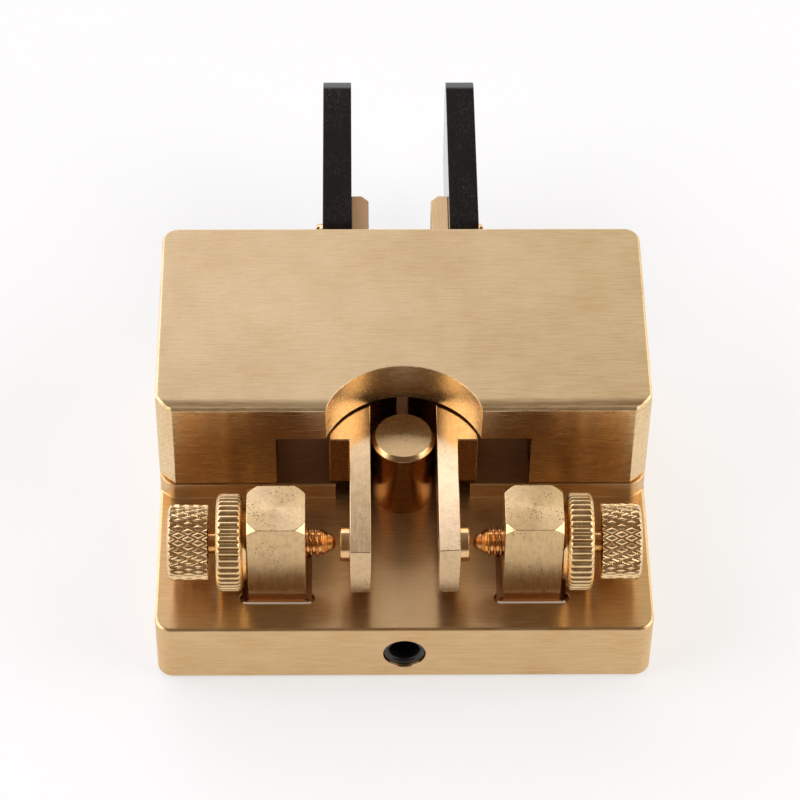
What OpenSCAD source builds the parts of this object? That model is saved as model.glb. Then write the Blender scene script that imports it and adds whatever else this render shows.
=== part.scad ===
// Paddle telegraph key: two levers squeezed between finger and thumb, each closing its own contact.
// Origin at the middle of the footprint on the table, +Z up, +X to the right, +Y towards the paddles.
// The contact screws, the stop post and the cable socket are on the -Y side.

/* [Base] */
// Width of the base and of the cover block
base_w = 60.2; // [58:0.1:64]
// Depth of the base, from the socket edge to the paddle edge
base_d = 51; // [50.5:0.5:54]
// Thickness of the base under the contact posts
base_h = 9.1; // [9:0.1:10]
// Height of the step that carries the cover block
step_h = 2.45; // [2:0.05:3]
// Radius of the upright corners of base and cover
corner_r = 2; // [1.5:0.5:4]
// Break along the top edges of the base
base_break = 0.25; // [0.1:0.05:0.5]
// Half width of the slot that lets the lever arms pass the step
slot_half = 8.3; // [7.8:0.1:9]
// How far the slot runs into the step
slot_depth = 8.7; // [6:0.1:9]
// Clear height under the base, left by the rubber feet
foot_gap = 0.5; // [0.3:0.1:1.5]

/* [Cover block] */
// Depth of the cover block, flush with the paddle edge of the base
cover_d = 30.2; // [29:0.1:31]
// Height of the cover block above the step
cover_h = 14.3; // [13:0.1:17]
// Bevel round the top of the cover block
cover_bevel = 0.25; // [0.1:0.05:1]
// Half width of the channel milled along the underside
channel_half = 15.6; // [12:0.1:16]
// Height of that channel
channel_h = 8.55; // [8.4:0.05:9.5]
// Radius of the round cut-out over the stop post
notch_r = 10; // [8:0.5:11]
// Distance of the cut-out's centre ahead of the cover's contact-side face
notch_ahead = 3.25; // [2:0.25:4]

/* [Levers] */
// Height of the lever bars
lever_h = 7.9; // [7:0.1:8.2]
// Gap between the levers and the step
lever_float = 0.3; // [0.2:0.05:0.5]
// Distance of each arm's inner face from the centre plane
arm_inner = 4.05; // [4.02:0.01:4.3]
// Thickness of the contact arms
arm_t = 2.55; // [2:0.05:3]
// Thickness of the tongues that carry the paddles
tongue_t = 2.2; // [1.8:0.1:2.5]
// Distance of the contact arms' ends from the socket edge of the base
arm_inset = 3.55; // [2:0.05:5]
// How far the tongues reach beyond the cover block
tongue_reach = 11.7; // [11:0.1:14]
// Distance of the pivots behind the cover's contact-side face
pivot_depth = 16.2; // [15.5:0.1:17]
// Diameter of the pivot pins
pivot_d = 3; // [2.5:0.5:4]
// Gap between the facing magnet bosses
boss_gap = 1.5; // [1.2:0.1:2.4]

/* [Paddles] */
// Thickness of the paddle plates
paddle_t = 3.7; // [3:0.1:4]
// Height of the paddle plates
paddle_h = 16.4; // [14:0.2:18]
// Length of the paddle plates
paddle_len = 29.7; // [26:0.1:34]
// Gap between the paddle plates and the cover block
paddle_gap = 1.3; // [1:0.1:2]
// Corner radius at the finger end
paddle_tip_r = 4; // [2:0.5:7]

/* [Contacts] */
// Distance of the contact line from the socket edge of the base
contact_inset = 8.5; // [8:0.1:9]
// Height of the contact line above the base
contact_rise = 6.3; // [6.1:0.1:6.5]
// Distance of the contact posts from the centre plane
post_x = 15.4; // [15.3:0.1:15.7]
// Side of the square contact posts
post_side = 7; // [6.8:0.1:7.3]
// Height of the contact posts above the base
post_rise = 12.75; // [12:0.05:14]
// Open gap between contact point and lever stud
contact_gap = 0.5; // [0.2:0.05:1]
// Thread diameter of the contact screws
thread_d = 3.8; // [3.5:0.1:4]
// Outer diameter of the lock nuts
nut_d = 11.9; // [10:0.1:12]
// Number of grooves round a lock nut
nut_grooves = 42; // [24:2:60]
// Diameter of the knurled heads
head_d = 9.2; // [8:0.1:11]
// Length of the knurled heads
head_len = 4.95; // [4:0.05:6]

/* [Stop post] */
// Diameter of the round post between the levers
stop_d = 7.9; // [7.4:0.1:7.9]
// Height of that post above the base
stop_rise = 10.25; // [8:0.05:10.4]
// Bevel round its top
stop_bevel = 0.5; // [0.2:0.1:0.8]

/* [Socket] */
// Radius of the socket's bore, for a 3.5 mm plug
socket_bore_r = 1.8; // [1.78:0.01:1.85]
// Height of the socket's axis above the underside of the base
socket_rise = 4.25; // [4.2:0.05:4.3]
// Diameter of the socket's nose
nose_d = 5; // [4.9:0.05:5.1]

/* [Hidden] */

brass_colour = "#c8a96b";
worn_brass_colour = "#b7925a";
black_colour = "#24211f";
white_colour = "#e6e4dc";
steel_colour = "#a9abad";
copper_colour = "#b8744a";
red_colour = "#a03028";
green_colour = "#3f6b45";

side_left = -1;
side_right = 1;

// Levels
base_top = foot_gap + base_h;
step_top = base_top + step_h;
roof_z = step_top + channel_h;
lever_z = step_top + lever_float;
lever_mid_z = lever_z + lever_h / 2;
contact_z = base_top + contact_rise;

// Stations along Y
socket_edge = -base_d / 2;
paddle_edge = base_d / 2;
cover_face = paddle_edge - cover_d;
stop_y = cover_face + 1.2;
contact_y = socket_edge + contact_inset;
pivot_y = cover_face + pivot_depth;
arm_end_y = socket_edge + arm_inset;
hub_front_y = cover_face + 0.2;
hub_back_y = pivot_y + 6;
boss_front_y = cover_face + 7.7;
magnet_y = boss_front_y + 2.6;
tongue_end_y = paddle_edge + tongue_reach;

// Stations along X
pivot_x = arm_inner + arm_t / 2;
hub_outer = 9.05;
arm_outer = arm_inner + arm_t;
tongue_outer = arm_inner + tongue_t;
stud_len = 1.2;
stud_face = arm_outer + stud_len;
point_x = stud_face + contact_gap;
stud_r = 2.15;
stud_rivet_r = 1;
stud_y = contact_y - 0.3;
magnet_r = 2;
magnet_t = 3;
paddle_y0 = paddle_edge + paddle_gap;
paddle_screw_ys = [tongue_end_y - 3.8, tongue_end_y - 8.2];
post_inner = post_x - post_side / 2;
post_outer = post_x + post_side / 2;

// Screw sizes for M3 and M2
m3_r = 1.5;
m3_clear_r = 1.6;
m3_head_r = 2.75;
m3_head_h = 1.8;
m2_r = 1;
m2_head_r = 1.9;
m2_head_h = 0.9;
slot_w = 0.6;

// Screws from below: first and second pair of the cover block
cover_screw_x = 21.5;
cover_screw_ys = [cover_face + 5, cover_face + 17];
cover_screw_z = foot_gap + 2;
cover_screw_len = 15;
counterbore_r = 3.1;
stop_screw_z = foot_gap + 1.4;

// Feet
foot_x = base_w / 2 - 5.2;
foot_y = base_d / 2 - 5.3;
foot_r = 3.3;
foot_h = foot_gap + 0.8;

// Sheet between the feet
pad_sheet_w = 30;
pad_sheet_y0 = -7.4;
pad_sheet_y1 = 17;
pad_sheet_r = 3;

// Wiring pocket and the plate that closes it
plate_t = 1;
plate_top = foot_gap + plate_t;
plate_half = 20.3;
plate_y0 = socket_edge + 0.9;
plate_y1 = socket_edge + 17.5;
plate_fit = 0.1;
plate_screw_x = plate_half - 2.8;
plate_screw_ys = [plate_y0 + 2.2, plate_y1 - 2.2];
plate_screw_len = 3.6;
pocket_half = 9;
pocket_y0 = socket_edge + 1.8;
pocket_y1 = plate_y1 - 1.5;
pocket_top = base_top - 1.6;
duct_w = 4;
duct_top = plate_top + 3.4;
well_r = 3.75;
well_top = plate_top + 3.8;

// Insulated seats of the contact posts
seat_w = 8.4;
seat_d = 9;
seat_depth = 0.9;
seat_corner_r = 0.9;
seat_relief = 0.35;
seat_z = base_top - seat_depth;
pad_t = 0.5;
pad_fit = 0.05;
post_foot_z = seat_z + pad_t;
post_top = base_top + post_rise;
sleeve_r = 2.2;
sleeve_flange_r = 3.5;
sleeve_flange_h = 0.8;
sleeve_fit = 0.02;
lug_t = 0.5;
lug_reach = 5.5;
post_screw_reach = 4;

// Contact screw, from the point outwards
cone_len = 2.05;
point_r = 0.6;
point_nose_len = 0.35;
point_nose_r = 0.95;
point_len = 0.95;
point_base_r = 1.15;
point_shank_r = 0.75;
point_shank_len = 4;
run_fit = 0.03;
neck_r = 1.35;
nut_gap = 0.05;
nut_collar_len = 0.45;
nut_collar_r = 4.7;
nut_len = 3.2;
nut_rim = 0.45;
nut_inner = post_outer + nut_gap;
nut_face = nut_inner + nut_collar_len + nut_len;
neck_len = 0.9;
head_inner = nut_face + neck_len;
head_rim = 0.35;

// Socket
socket_z = foot_gap + socket_rise;
nose_recess = 0.4;
nose_fit = 0.07;
nose_len = pocket_y0 - socket_edge - nose_recess;
socket_w = 6;
socket_len = 12.6;
socket_h = 5.4;
socket_bore_len = 12.5;
spring_t = 0.3;
spring_w = 1.2;
spring_len = 9;
tail_len = 1.2;
tail_h = 1.7;
tail_drop = 0.35;

// Ground screw in the pocket's roof, beside the socket
ground_x = 5.2;
ground_y = pocket_y0 + 2.7;

wire_r = 0.45;
wire_bend = 0.9;
round_fn = 64;
fine_fn = 96;
cut = 1;

// Helpers

// Draws its children as made for the right side, or mirrored to the left
module on_side(side) {
    if (side < 0) mirror([1, 0, 0]) children();
    else children();
}

// Flat outline with rounded corners, centred
module rounded_outline(w, d, r) {
    square([w - 2 * r, d], center = true);
    square([w, d - 2 * r], center = true);
    for (sx = [-1, 1], sy = [-1, 1])
        translate([sx * (w / 2 - r), sy * (d / 2 - r)]) circle(r = r, $fn = round_fn);
}

// Block with rounded upright corners and a bevel round its top, standing on z = 0
module bevelled_block(w, d, h, r, bevel) {
    module profile(width, length)
        translate([0, length / 2, 0]) rotate([90, 0, 0]) linear_extrude(height = length)
            polygon([
                [-width / 2, 0], [width / 2, 0], [width / 2, h - bevel],
                [width / 2 - bevel, h], [-width / 2 + bevel, h], [-width / 2, h - bevel]
            ]);
    profile(w, d - 2 * r);
    rotate([0, 0, 90]) profile(d, w - 2 * r);
    for (sx = [-1, 1], sy = [-1, 1])
        translate([sx * (w / 2 - r), sy * (d / 2 - r), 0]) {
            cylinder(r = r, h = h - bevel, $fn = round_fn);
            translate([0, 0, h - bevel]) cylinder(r1 = r, r2 = r - bevel, h = bevel, $fn = round_fn);
        }
}

// Cylinder lying along +X, from x0 to x1
module x_rod(r, x0, x1, fn = round_fn)
    translate([x0, 0, 0]) rotate([0, 90, 0]) cylinder(r = r, h = x1 - x0, $fn = fn);

// Cone lying along +X, radius ra at x0 and rb at x1
module x_cone(ra, rb, x0, x1)
    translate([x0, 0, 0]) rotate([0, 90, 0]) cylinder(r1 = ra, r2 = rb, h = x1 - x0, $fn = round_fn);

// Slotted screw standing head down at the origin, shank up
module slotted_screw(head_r, head_h, shank_r, shank_len, slot_depth) {
    difference() {
        cylinder(r = head_r, h = head_h, $fn = round_fn);
        translate([-head_r - cut, -slot_w / 2, -cut]) cube([2 * (head_r + cut), slot_w, slot_depth + cut]);
    }
    translate([0, 0, head_h]) cylinder(r = shank_r, h = shank_len, $fn = round_fn);
}

// Insulated wire through the listed points, with a round bend at each inner one
module wire_path(points) {
    last = len(points) - 1;
    way = [for (i = [0 : last - 1]) (points[i + 1] - points[i]) / norm(points[i + 1] - points[i])];
    for (i = [0 : last - 1]) {
        start = points[i] + (i > 0 ? wire_bend * way[i] : [0, 0, 0]);
        span = norm(points[i + 1] - points[i]) - (i > 0 ? wire_bend : 0) - (i < last - 1 ? wire_bend : 0);
        translate(start)
            rotate([0, acos(way[i].z), atan2(way[i].y, way[i].x)])
                cylinder(r = wire_r, h = span, $fn = round_fn);
    }
    for (i = [1 : last - 1]) {
        before = way[i - 1];
        after = way[i];
        side_way = cross(before, after);
        middle = points[i] + wire_bend * (after - before);
        multmatrix([
            [-after.x, before.x, side_way.x, middle.x],
            [-after.y, before.y, side_way.y, middle.y],
            [-after.z, before.z, side_way.z, middle.z]
        ])
            rotate_extrude(angle = 90, $fn = round_fn) translate([wire_bend, 0]) circle(r = wire_r, $fn = round_fn);
    }
}

// Base and what closes it from below

module base() {
    color(brass_colour) difference() {
        union() {
            translate([0, 0, foot_gap]) bevelled_block(base_w, base_d, base_h, corner_r, base_break);
            translate([0, paddle_edge - cover_d / 2, base_top - cut])
                linear_extrude(height = step_h + cut) rounded_outline(base_w, cover_d, corner_r);
        }
        // slot for the arms and the stop post
        translate([-slot_half, cover_face - cut, base_top]) cube([2 * slot_half, slot_depth + cut, step_h + cut]);
        // opening for the socket's nose
        translate([0, socket_edge - cut, socket_z]) rotate([-90, 0, 0])
            cylinder(r = nose_d / 2 + nose_fit, h = 4, $fn = round_fn);
        // wiring pocket, its ducts and the recess of the closing plate
        translate([-pocket_half, pocket_y0, foot_gap - cut])
            cube([2 * pocket_half, pocket_y1 - pocket_y0, pocket_top - foot_gap + cut]);
        translate([-post_x, contact_y - duct_w / 2, foot_gap - cut])
            cube([2 * post_x, duct_w, duct_top - foot_gap + cut]);
        translate([-plate_half - plate_fit, plate_y0 - plate_fit, foot_gap - cut])
            cube([2 * (plate_half + plate_fit), plate_y1 - plate_y0 + 2 * plate_fit, plate_t + cut]);
        for (side = [side_left, side_right]) {
            translate([side * post_x, contact_y, foot_gap - cut]) {
                cylinder(r = well_r, h = well_top - foot_gap + cut, $fn = round_fn);
                cylinder(r = sleeve_r + sleeve_fit, h = base_h + 2 * cut, $fn = round_fn);
            }
            translate([side * post_x, contact_y, seat_z]) linear_extrude(height = seat_depth + cut) {
                rounded_outline(seat_w, seat_d, seat_corner_r);
                for (sx = [-1, 1], sy = [-1, 1])
                    translate([sx * (seat_w / 2 + seat_relief - seat_corner_r), sy * (seat_d / 2 - seat_corner_r)])
                        circle(r = seat_corner_r, $fn = round_fn);
            }
            for (y = plate_screw_ys) translate([side * plate_screw_x, y, foot_gap])
                cylinder(r = m2_r, h = plate_screw_len + 0.4, $fn = round_fn);
            for (y = cover_screw_ys) translate([side * cover_screw_x, y, foot_gap - cut]) {
                cylinder(r = counterbore_r, h = cover_screw_z - foot_gap + m3_head_h + cut, $fn = round_fn);
                cylinder(r = m3_clear_r, h = step_top + 2 * cut, $fn = round_fn);
            }
            for (sy = [-1, 1]) translate([side * foot_x, sy * foot_y, foot_gap - cut])
                cylinder(r = foot_r, h = foot_h - foot_gap + cut, $fn = round_fn);
            translate([side * pivot_x, pivot_y, step_top - 4])
                cylinder(d = pivot_d, h = 4 + cut, $fn = round_fn);
        }
        // screw of the stop post, from below
        translate([0, stop_y, foot_gap - cut]) {
            cylinder(r = counterbore_r, h = stop_screw_z - foot_gap + m3_head_h + cut, $fn = round_fn);
            cylinder(r = m3_clear_r, h = base_top + 2 * cut, $fn = round_fn);
        }
        // tapped hole of the ground screw, in the pocket's roof
        translate([ground_x, ground_y, pocket_top - cut]) cylinder(r = m2_r, h = cut + 1.2, $fn = round_fn);
    }
}

module bottom_plate() {
    color(worn_brass_colour) difference() {
        translate([-plate_half, plate_y0, foot_gap]) cube([2 * plate_half, plate_y1 - plate_y0, plate_t]);
        for (side = [side_left, side_right], y = plate_screw_ys)
            translate([side * plate_screw_x, y, foot_gap - cut]) {
                cylinder(r = m2_r + 0.15, h = plate_t + 2 * cut, $fn = round_fn);
                cylinder(r = m2_head_r, h = cut + m2_head_h - 0.3, $fn = round_fn);
            }
    }
}

module plate_screws() {
    color(steel_colour) for (side = [side_left, side_right], y = plate_screw_ys)
        translate([side * plate_screw_x, y, foot_gap])
            slotted_screw(m2_head_r - 0.05, m2_head_h - 0.3, m2_r, plate_screw_len - m2_head_h, 0.35);
}

module rubber_feet() {
    color(black_colour) for (sx = [-1, 1], sy = [-1, 1])
        translate([sx * foot_x, sy * foot_y, 0]) {
            cylinder(r1 = foot_r - 0.3, r2 = foot_r, h = 0.3, $fn = round_fn);
            translate([0, 0, 0.3]) cylinder(r = foot_r, h = foot_h - 0.3, $fn = round_fn);
        }
}

module rubber_pad() {
    color(black_colour) translate([0, (pad_sheet_y0 + pad_sheet_y1) / 2, 0])
        linear_extrude(height = foot_gap)
            rounded_outline(pad_sheet_w, pad_sheet_y1 - pad_sheet_y0, pad_sheet_r);
}

// Cover block and stop post

module cover_block() {
    color(brass_colour) difference() {
        translate([0, paddle_edge - cover_d / 2, step_top])
            bevelled_block(base_w, cover_d, cover_h, corner_r, cover_bevel);
        translate([-channel_half, cover_face - cut, step_top - cut])
            cube([2 * channel_half, cover_d + 2 * cut, channel_h + cut]);
        translate([0, cover_face - notch_ahead, roof_z - cut])
            cylinder(r = notch_r, h = cover_h - channel_h + 2 * cut, $fn = fine_fn);
        for (side = [side_left, side_right]) {
            translate([side * pivot_x, pivot_y, roof_z - cut])
                cylinder(r = pivot_d / 2 + 0.02, h = 3.6 + cut, $fn = round_fn);
            for (y = cover_screw_ys) translate([side * cover_screw_x, y, step_top - cut])
                cylinder(r = m3_r, h = 9 + cut, $fn = round_fn);
        }
    }
}

module cover_screws() {
    color(steel_colour) for (side = [side_left, side_right], y = cover_screw_ys)
        translate([side * cover_screw_x, y, cover_screw_z])
            slotted_screw(m3_head_r, m3_head_h, m3_r, cover_screw_len, 0.8);
}

module stop_post() {
    color(worn_brass_colour) translate([0, stop_y, base_top]) difference() {
        union() {
            cylinder(d = stop_d, h = stop_rise - stop_bevel, $fn = fine_fn);
            translate([0, 0, stop_rise - stop_bevel])
                cylinder(d1 = stop_d, d2 = stop_d - 2 * stop_bevel, h = stop_bevel, $fn = fine_fn);
        }
        translate([0, 0, -cut]) cylinder(r = m3_r, h = 6 + cut, $fn = round_fn);
    }
}

module stop_post_screw() {
    color(steel_colour) translate([0, stop_y, stop_screw_z])
        slotted_screw(m3_head_r, m3_head_h, m3_r, base_top + 5.5 - stop_screw_z - m3_head_h, 0.8);
}

// Levers

module lever(side) {
    tongue_chamfer = 0.9;
    pin_bush_r = 2.8;
    color(brass_colour) on_side(side) difference() {
        translate([0, 0, lever_z]) linear_extrude(height = lever_h) union() {
            translate([arm_inner, arm_end_y]) square([arm_t, hub_back_y - arm_end_y]);
            translate([arm_inner, hub_front_y]) square([hub_outer - arm_inner, hub_back_y - hub_front_y]);
            translate([boss_gap / 2, boss_front_y])
                square([arm_inner - boss_gap / 2 + 0.5, hub_back_y - boss_front_y]);
            polygon([
                [arm_inner, hub_back_y - 0.5], [tongue_outer, hub_back_y - 0.5],
                [tongue_outer, tongue_end_y], [arm_inner + tongue_chamfer, tongue_end_y],
                [arm_inner, tongue_end_y - tongue_chamfer]
            ]);
        }
        translate([pivot_x, pivot_y, lever_z - cut]) cylinder(r = pin_bush_r, h = lever_h + 2 * cut, $fn = round_fn);
        // blind seat of the return magnet
        translate([0, magnet_y, lever_mid_z]) x_rod(magnet_r, boss_gap / 2 - cut, boss_gap / 2 + 0.1 + magnet_t);
        // hole of the contact stud's rivet
        translate([0, stud_y, contact_z]) x_rod(stud_rivet_r, arm_inner - cut, arm_outer + cut);
        // tapped holes of the paddle screws
        for (y = paddle_screw_ys) translate([0, y, lever_mid_z]) x_rod(m2_r, arm_inner - cut, tongue_outer + cut);
    }
}

module pivot_bush(side) {
    bush_r = 2.8;
    bush_stand = 0.18;
    color(worn_brass_colour) on_side(side) translate([pivot_x, pivot_y, lever_z - bush_stand]) difference() {
        cylinder(r = bush_r, h = lever_h + 2 * bush_stand, $fn = round_fn);
        translate([0, 0, -cut]) cylinder(r = pivot_d / 2 + run_fit, h = lever_h + 2 * (bush_stand + cut), $fn = round_fn);
    }
}

module pivot_pin(side) {
    color(steel_colour) translate([side * pivot_x, pivot_y, step_top - 4])
        cylinder(d = pivot_d, h = channel_h + 4 + 3.4, $fn = round_fn);
}

module contact_stud(side) {
    color(brass_colour) on_side(side) translate([0, stud_y, contact_z]) {
        x_rod(stud_r, arm_outer, stud_face - 0.15);
        x_cone(stud_r, stud_r - 0.15, stud_face - 0.15, stud_face);
        x_rod(stud_rivet_r, arm_inner + 0.05, arm_outer);
    }
}

module return_magnet(side) {
    color(steel_colour) on_side(side) translate([0, magnet_y, lever_mid_z])
        x_rod(magnet_r, boss_gap / 2 + 0.1, boss_gap / 2 + 0.1 + magnet_t);
}

// Paddles

module paddle(side) {
    near_r = 2;
    far_y = paddle_y0 + paddle_len;
    z0 = lever_mid_z - paddle_h / 2;
    z1 = lever_mid_z + paddle_h / 2;
    color(black_colour) on_side(side) difference() {
        translate([tongue_outer, 0, 0]) rotate([90, 0, 90]) linear_extrude(height = paddle_t) {
            translate([paddle_y0 + near_r, z0]) square([paddle_len - near_r - paddle_tip_r, paddle_h]);
            translate([paddle_y0, z0 + near_r]) square([near_r, paddle_h - 2 * near_r]);
            translate([far_y - paddle_tip_r, z0 + paddle_tip_r])
                square([paddle_tip_r, paddle_h - 2 * paddle_tip_r]);
            for (z = [z0 + near_r, z1 - near_r])
                translate([paddle_y0 + near_r, z]) circle(r = near_r, $fn = round_fn);
            for (z = [z0 + paddle_tip_r, z1 - paddle_tip_r])
                translate([far_y - paddle_tip_r, z]) circle(r = paddle_tip_r, $fn = round_fn);
        }
        for (y = paddle_screw_ys) translate([0, y, lever_mid_z])
            x_rod(m2_r + 0.1, tongue_outer - cut, tongue_outer + paddle_t + cut);
    }
}

module paddle_screws(side) {
    head_r = 1.9;
    head_h = 0.9;
    outer = tongue_outer + paddle_t;
    color(brass_colour) on_side(side) for (y = paddle_screw_ys) translate([0, y, lever_mid_z]) {
        x_rod(m2_r, arm_inner + 0.1, outer);
        difference() {
            union() {
                x_rod(head_r, outer, outer + head_h - 0.25);
                x_cone(head_r, head_r - 0.25, outer + head_h - 0.25, outer + head_h);
            }
            translate([outer + head_h - 0.45, -slot_w / 2, -head_r - cut]) cube([cut, slot_w, 2 * (head_r + cut)]);
        }
    }
}

// Contact posts with their insulation

module contact_post(side) {
    cone_top_r = 4.1;
    cone_drop = 1.2;
    color(brass_colour) on_side(side) difference() {
        translate([post_x, contact_y, post_foot_z]) intersection() {
            translate([-post_side / 2, -post_side / 2, 0]) cube([post_side, post_side, post_top - post_foot_z]);
            union() {
                cylinder(r = cone_top_r + cone_drop, h = post_top - post_foot_z - cone_drop, $fn = round_fn);
                translate([0, 0, post_top - post_foot_z - cone_drop])
                    cylinder(r1 = cone_top_r + cone_drop, r2 = cone_top_r, h = cone_drop, $fn = round_fn);
            }
        }
        translate([0, contact_y, contact_z]) x_rod(thread_d / 2 + run_fit, post_inner - cut, post_outer + cut);
        translate([post_x, contact_y, post_foot_z - cut]) cylinder(r = m3_r, h = post_screw_reach + cut, $fn = round_fn);
    }
}

module post_pad(side) {
    color(white_colour) translate([side * post_x, contact_y, seat_z]) difference() {
        linear_extrude(height = pad_t)
            rounded_outline(seat_w - 2 * pad_fit, seat_d - 2 * pad_fit, seat_corner_r - pad_fit);
        translate([0, 0, -cut]) cylinder(r = sleeve_r, h = pad_t + 2 * cut, $fn = round_fn);
    }
}

module post_sleeve(side) {
    color(white_colour) translate([side * post_x, contact_y, well_top - sleeve_flange_h]) difference() {
        union() {
            cylinder(r = sleeve_flange_r, h = sleeve_flange_h, $fn = round_fn);
            cylinder(r = sleeve_r, h = post_foot_z - well_top + sleeve_flange_h, $fn = round_fn);
        }
        translate([0, 0, -cut]) cylinder(r = m3_clear_r, h = base_h, $fn = round_fn);
    }
}

module post_screw(side) {
    head_h = 1.6;
    head_z = well_top - sleeve_flange_h - lug_t - head_h;
    color(steel_colour) translate([side * post_x, contact_y, head_z])
        slotted_screw(m3_head_r, head_h, m3_r, post_foot_z + post_screw_reach - 0.3 - head_z - head_h, 0.7);
}

module post_lug(side) {
    color(copper_colour) on_side(side) translate([post_x, contact_y, well_top - sleeve_flange_h - lug_t])
        difference() {
            union() {
                cylinder(r = 2.9, h = lug_t, $fn = round_fn);
                translate([-lug_reach, -0.9, 0]) cube([lug_reach, 1.8, lug_t]);
            }
            translate([0, 0, -cut]) cylinder(r = m3_clear_r, h = lug_t + 2 * cut, $fn = round_fn);
        }
}

// Adjusting screws, their contact points and lock nuts

module contact_point(side) {
    color(copper_colour) on_side(side) translate([0, contact_y, contact_z]) {
        x_cone(point_r, point_nose_r, point_x, point_x + point_nose_len);
        x_cone(point_nose_r, point_base_r, point_x + point_nose_len, point_x + point_len);
        x_rod(point_shank_r, point_x + point_len, point_x + point_len + point_shank_len, 32);
    }
}

module contact_screw(side) {
    bore_len = point_len + point_shank_len + 0.1;
    start = point_x + point_len + 0.02;
    head_end = head_inner + head_len;
    color(brass_colour) on_side(side) translate([0, contact_y, contact_z]) difference() {
        union() {
            x_cone(point_base_r, thread_d / 2, start, point_x + cone_len);
            x_rod(thread_d / 2, point_x + cone_len, nut_face);
            x_rod(neck_r, nut_face, head_inner);
            x_rod(head_d / 2, head_inner, head_end - head_rim);
            x_cone(head_d / 2, head_d / 2 - head_rim, head_end - head_rim, head_end);
        }
        x_rod(point_shank_r + run_fit, point_x, point_x + bore_len, 32);
    }
}

module lock_nut(side) {
    groove_depth = 0.28;
    groove_half = 0.3;
    disc_start = nut_inner + nut_collar_len;
    color(brass_colour) on_side(side) translate([0, contact_y, contact_z]) difference() {
        union() {
            x_cone(nut_collar_r - 0.3, nut_collar_r, nut_inner, disc_start);
            x_cone(nut_d / 2 - nut_rim, nut_d / 2, disc_start, disc_start + nut_rim);
            x_rod(nut_d / 2, disc_start + nut_rim, nut_face - nut_rim, fine_fn);
            x_cone(nut_d / 2, nut_d / 2 - nut_rim, nut_face - nut_rim, nut_face);
        }
        x_rod(thread_d / 2 + run_fit, nut_inner - cut, nut_face + cut);
        for (i = [0 : nut_grooves - 1]) rotate([i * 360 / nut_grooves, 0, 0])
            translate([disc_start - cut, 0, nut_d / 2]) rotate([90, 0, 90])
                linear_extrude(height = nut_len + 2 * cut)
                    polygon([[-groove_half, 0.05], [0, -groove_depth], [groove_half, 0.05]]);
    }
}

// Socket and wiring

module socket_body() {
    color(black_colour) difference() {
        union() {
            translate([0, socket_edge + nose_recess, socket_z]) rotate([-90, 0, 0])
                cylinder(d = nose_d, h = nose_len + cut, $fn = round_fn);
            translate([-socket_w / 2, pocket_y0, socket_z - socket_h / 2]) cube([socket_w, socket_len, socket_h]);
        }
        translate([0, socket_edge + nose_recess - cut, socket_z]) rotate([-90, 0, 0])
            cylinder(r = socket_bore_r, h = socket_bore_len + cut, $fn = round_fn);
        // lead-in at the mouth
        translate([0, socket_edge + nose_recess - 0.01, socket_z]) rotate([-90, 0, 0])
            cylinder(r1 = socket_bore_r + 0.3, r2 = socket_bore_r, h = 0.3, $fn = round_fn);
        // side slots of the spring contacts
        for (side = [side_left, side_right])
            translate([side * (socket_w / 2 - spring_t / 2), pocket_y0 + socket_len - spring_len / 2, socket_z])
                cube([spring_t + 0.02, spring_len + 0.02, spring_w + 0.02], center = true);
    }
}

module socket_springs() {
    spring_x = socket_w / 2 - spring_t / 2;
    back_y = pocket_y0 + socket_len;
    color(copper_colour) for (side = [side_left, side_right]) {
        translate([side * spring_x, back_y - spring_len / 2, socket_z])
            cube([spring_t, spring_len, spring_w], center = true);
        translate([side * spring_x, back_y + tail_len / 2, socket_z - tail_drop])
            cube([spring_t, tail_len + 0.02, tail_h], center = true);
    }
}

module socket_sleeve() {
    strip_y = pocket_y0 + 3;
    color(copper_colour) {
        translate([-1, strip_y, socket_z - socket_h / 2 - spring_t]) cube([2, socket_len - 3, spring_t]);
        translate([-1, pocket_y0 + socket_len, socket_z - socket_h / 2 - spring_t]) cube([2, spring_t, 2.4]);
    }
}

module ground_lug() {
    color(copper_colour) translate([ground_x, ground_y, pocket_top - lug_t]) difference() {
        union() {
            cylinder(r = 1.9, h = lug_t, $fn = round_fn);
            translate([0, -0.8, 0]) cube([3.2, 1.6, lug_t]);
        }
        translate([0, 0, -cut]) cylinder(r = m2_r + 0.1, h = lug_t + 2 * cut, $fn = round_fn);
    }
}

module ground_screw() {
    head_h = 1.1;
    color(steel_colour) translate([ground_x, ground_y, pocket_top - lug_t - head_h])
        slotted_screw(m2_head_r, head_h, m2_r, lug_t + 1, 0.5);
}

module wire(side) {
    tail_y = pocket_y0 + socket_len + tail_len / 2;
    wire_run_x = 7.5;
    lug_z = well_top - sleeve_flange_h - lug_t - wire_r;
    color(side < 0 ? red_colour : white_colour) on_side(side) wire_path([
        [socket_w / 2, tail_y, lug_z],
        [wire_run_x, tail_y, lug_z],
        [wire_run_x, contact_y, lug_z],
        [post_x - lug_reach + 1.5, contact_y, lug_z]
    ]);
}

module wire_ground() {
    tab_y = pocket_y0 + socket_len + spring_t + wire_r;
    tab_z = socket_z - socket_h / 2 + 0.5;
    lug_z = pocket_top - lug_t - wire_r;
    color(green_colour) wire_path([
        [0, tab_y, tab_z],
        [ground_x, tab_y, tab_z],
        [ground_x, tab_y - 3.5, tab_z],
        [ground_x, tab_y - 3.5, lug_z],
        [ground_x, ground_y + 2.6, lug_z]
    ]);
}

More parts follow.
